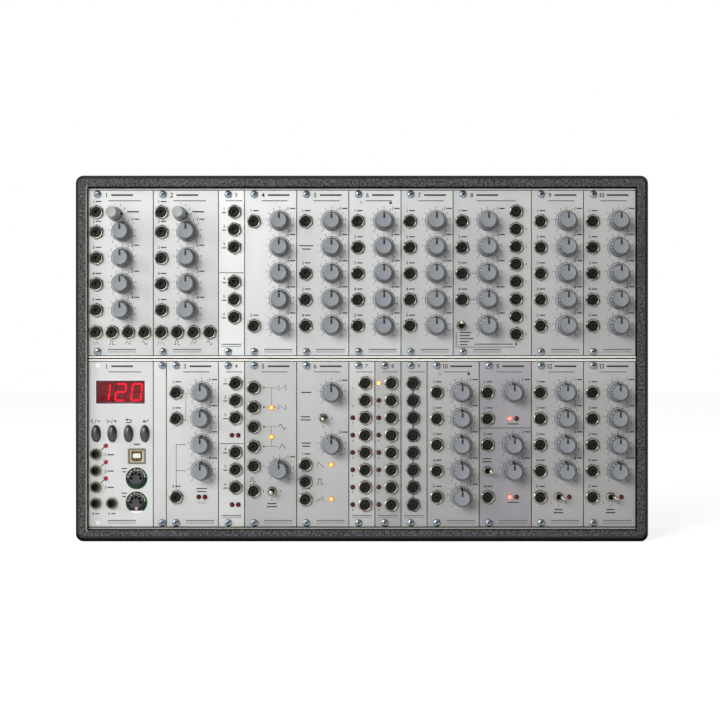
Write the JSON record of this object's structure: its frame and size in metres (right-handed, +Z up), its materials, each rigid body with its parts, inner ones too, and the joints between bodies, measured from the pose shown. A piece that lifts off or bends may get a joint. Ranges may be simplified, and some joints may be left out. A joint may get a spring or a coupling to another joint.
{
  "type": "modular synthesizer",
  "caption": "Portable case with two rows of patchable synthesizer panels on rails, with turning knobs, toggle switches, push buttons and patch sockets.",
  "frame": {"origin": "under the middle of the whole object, on the face that it stands on", "axes": "+Z up, +X to the right as seen from the front, the panels face -Y"},
  "size_m": [0.4454, 0.142, 0.2847],
  "materials": {
    "casing": "dark grey textured covering",
    "rail": "satin extrusion",
    "panel_white": "pale anodised, fine grain",
    "panel_grey": "grey anodised, fine grain",
    "panel_warm": "warm grey anodised, fine grain",
    "panel_lilac": "lilac grey anodised, fine grain",
    "knob": "matte grey with a black pointer line",
    "range_knob": "satin grey-green",
    "lever": "polished",
    "button": "satin black",
    "board": "green circuit board",
    "power_supply": "plain sheet",
    "mains_inlet": "moulded black",
    "power_rocker": "smooth black"
  },
  "bodies": {
    "cabinet": {"amplifier_1_module": "panel_warm", "amplifier_2_module": "panel_warm", "blank_module": "panel_white", "case_tub": "casing", "clock_divider_module": "panel_grey", "clock_sequencer_module": "panel_grey", "divider_module": "panel_grey", "envelope_1_module": "panel_warm", "envelope_2_module": "panel_warm", "filter_module": "panel_grey", "interface_module": "panel_white", "low_oscillator_1_module": "panel_grey", "low_oscillator_2_module": "panel_grey", "lower_bus_board": "board", "lower_multiples_module": "panel_grey", "lower_row_bottom_rail": "rail", "lower_row_top_rail": "rail", "mains_inlet": "mains_inlet", "mixer_1_module": "panel_grey", "mixer_2_module": "panel_warm", "multi_filter_module": "panel_grey", "noise_module": "panel_white", "oscillator_1_module": "panel_white", "oscillator_2_module": "panel_white", "power_supply": "power_supply", "sample_hold_module": "panel_grey", "slew_limiter_module": "panel_lilac", "upper_bus_board": "board", "upper_multiples_module": "panel_white", "upper_row_bottom_rail": "rail", "upper_row_top_rail": "rail", "waveform_module": "panel_grey"},
    "button_1": {"button_1": "button"},
    "button_2": {"button_2": "button"},
    "button_3": {"button_3": "button"},
    "button_4": {"button_4": "button"},
    "oscillator_1_knob": {"oscillator_1_knob": "knob"},
    "divider_knob": {"divider_knob": "knob"},
    "waveform_knob": {"waveform_knob": "knob"},
    "mixer_1_knob": {"mixer_1_knob": "knob"},
    "filter_knob": {"filter_knob": "knob"},
    "multi_filter_knob": {"multi_filter_knob": "knob"},
    "amplifier_1_knob": {"amplifier_1_knob": "knob"},
    "amplifier_2_knob": {"amplifier_2_knob": "knob"},
    "noise_knob": {"noise_knob": "knob"},
    "low_oscillator_1_knob": {"low_oscillator_1_knob": "knob"},
    "low_oscillator_2_knob": {"low_oscillator_2_knob": "knob"},
    "mixer_2_knob": {"mixer_2_knob": "knob"},
    "slew_limiter_knob": {"slew_limiter_knob": "knob"},
    "envelope_1_knob": {"envelope_1_knob": "knob"},
    "envelope_2_knob": {"envelope_2_knob": "knob"},
    "oscillator_1_range_knob": {"oscillator_1_range_knob": "range_knob"},
    "oscillator_2_range_knob": {"oscillator_2_range_knob": "range_knob"},
    "multi_filter_toggle": {"multi_filter_toggle": "lever"},
    "low_oscillator_1_toggle": {"low_oscillator_1_toggle": "lever"},
    "low_oscillator_2_toggle": {"low_oscillator_2_toggle": "lever"},
    "slew_limiter_toggle": {"slew_limiter_toggle": "lever"},
    "envelope_1_toggle": {"envelope_1_toggle": "lever"},
    "envelope_2_toggle": {"envelope_2_toggle": "lever"},
    "power_rocker": {"power_rocker": "power_rocker"}
  },
  "joints": [
    {"name": "button_1_press", "type": "slide", "parent": "cabinet", "child": "button_1", "axis": [0, 1, 0], "range_m": [0, 0.0015], "stiffness_N_per_m": 400},
    {"name": "button_2_press", "type": "slide", "parent": "cabinet", "child": "button_2", "axis": [0, 1, 0], "range_m": [0, 0.0015], "stiffness_N_per_m": 400},
    {"name": "button_3_press", "type": "slide", "parent": "cabinet", "child": "button_3", "axis": [0, 1, 0], "range_m": [0, 0.0015], "stiffness_N_per_m": 400},
    {"name": "button_4_press", "type": "slide", "parent": "cabinet", "child": "button_4", "axis": [0, 1, 0], "range_m": [0, 0.0015], "stiffness_N_per_m": 400},
    {"name": "oscillator_1_knob_turn", "type": "hinge", "parent": "cabinet", "child": "oscillator_1_knob", "pos_m": [-0.18674, -0.049, 0.24092], "axis": [0, 1, 0], "range_deg": [-150, 150]},
    {"name": "divider_knob_turn", "type": "hinge", "parent": "cabinet", "child": "divider_knob", "pos_m": [-0.06396, -0.049, 0.24927], "axis": [0, 1, 0], "range_deg": [-150, 150]},
    {"name": "waveform_knob_turn", "type": "hinge", "parent": "cabinet", "child": "waveform_knob", "pos_m": [-0.02347, -0.049, 0.22892], "axis": [0, 1, 0], "range_deg": [-150, 150]},
    {"name": "mixer_1_knob_turn", "type": "hinge", "parent": "cabinet", "child": "mixer_1_knob", "pos_m": [0.01717, -0.049, 0.16785], "axis": [0, 1, 0], "range_deg": [-150, 150]},
    {"name": "filter_knob_turn", "type": "hinge", "parent": "cabinet", "child": "filter_knob", "pos_m": [0.05781, -0.049, 0.24927], "axis": [0, 1, 0], "range_deg": [-150, 150]},
    {"name": "multi_filter_knob_turn", "type": "hinge", "parent": "cabinet", "child": "multi_filter_knob", "pos_m": [0.09794, -0.049, 0.16785], "axis": [0, 1, 0], "range_deg": [-150, 150]},
    {"name": "amplifier_1_knob_turn", "type": "hinge", "parent": "cabinet", "child": "amplifier_1_knob", "pos_m": [0.15941, -0.049, 0.24927], "axis": [0, 1, 0], "range_deg": [-150, 150]},
    {"name": "amplifier_2_knob_turn", "type": "hinge", "parent": "cabinet", "child": "amplifier_2_knob", "pos_m": [0.20005, -0.049, 0.24927], "axis": [0, 1, 0], "range_deg": [-150, 150]},
    {"name": "noise_knob_turn", "type": "hinge", "parent": "cabinet", "child": "noise_knob", "pos_m": [-0.12492, -0.049, 0.07521], "axis": [0, 1, 0], "range_deg": [-150, 150]},
    {"name": "low_oscillator_1_knob_turn", "type": "hinge", "parent": "cabinet", "child": "low_oscillator_1_knob", "pos_m": [-0.06416, -0.049, 0.05582], "axis": [0, 1, 0], "range_deg": [-150, 150]},
    {"name": "low_oscillator_2_knob_turn", "type": "hinge", "parent": "cabinet", "child": "low_oscillator_2_knob", "pos_m": [-0.02362, -0.049, 0.11542], "axis": [0, 1, 0], "range_deg": [-150, 150]},
    {"name": "mixer_2_knob_turn", "type": "hinge", "parent": "cabinet", "child": "mixer_2_knob", "pos_m": [0.07752, -0.049, 0.0345], "axis": [0, 1, 0], "range_deg": [-150, 150]},
    {"name": "slew_limiter_knob_turn", "type": "hinge", "parent": "cabinet", "child": "slew_limiter_knob", "pos_m": [0.11775, -0.049, 0.05486], "axis": [0, 1, 0], "range_deg": [-150, 150]},
    {"name": "envelope_1_knob_turn", "type": "hinge", "parent": "cabinet", "child": "envelope_1_knob", "pos_m": [0.1587, -0.049, 0.11592], "axis": [0, 1, 0], "range_deg": [-150, 150]},
    {"name": "envelope_2_knob_turn", "type": "hinge", "parent": "cabinet", "child": "envelope_2_knob", "pos_m": [0.19934, -0.049, 0.11592], "axis": [0, 1, 0], "range_deg": [-150, 150]},
    {"name": "oscillator_1_range_knob_turn", "type": "hinge", "parent": "cabinet", "child": "oscillator_1_range_knob", "pos_m": [-0.19238, -0.049, 0.25498], "axis": [0, 1, 0], "range_deg": [-60, 60]},
    {"name": "oscillator_2_range_knob_turn", "type": "hinge", "parent": "cabinet", "child": "oscillator_2_range_knob", "pos_m": [-0.14158, -0.049, 0.25498], "axis": [0, 1, 0], "range_deg": [-60, 60]},
    {"name": "multi_filter_toggle_throw", "type": "hinge", "parent": "cabinet", "child": "multi_filter_toggle", "pos_m": [0.07742, -0.0496, 0.16785], "axis": [1, 0, 0], "range_deg": [0, 26]},
    {"name": "low_oscillator_1_toggle_throw", "type": "hinge", "parent": "cabinet", "child": "low_oscillator_1_toggle", "pos_m": [-0.07015, -0.0496, 0.03892], "axis": [0, 0, 1], "range_deg": [-13, 13]},
    {"name": "low_oscillator_2_toggle_throw", "type": "hinge", "parent": "cabinet", "child": "low_oscillator_2_toggle", "pos_m": [-0.03012, -0.0496, 0.09572], "axis": [0, 0, 1], "range_deg": [-13, 13]},
    {"name": "slew_limiter_toggle_throw", "type": "hinge", "parent": "cabinet", "child": "slew_limiter_toggle", "pos_m": [0.09764, -0.0496, 0.05486], "axis": [0, 0, 1], "range_deg": [-26, 0]},
    {"name": "envelope_1_toggle_throw", "type": "hinge", "parent": "cabinet", "child": "envelope_1_toggle", "pos_m": [0.15316, -0.0496, 0.0345], "axis": [0, 0, 1], "range_deg": [-26, 0]},
    {"name": "envelope_2_toggle_throw", "type": "hinge", "parent": "cabinet", "child": "envelope_2_toggle", "pos_m": [0.1938, -0.0496, 0.0345], "axis": [0, 0, 1], "range_deg": [-26, 0]},
    {"name": "power_rocker_throw", "type": "hinge", "parent": "cabinet", "child": "power_rocker", "pos_m": [0.1635, 0.066, 0.034], "axis": [0, 0, 1], "range_deg": [-16, 0]}
  ]
}
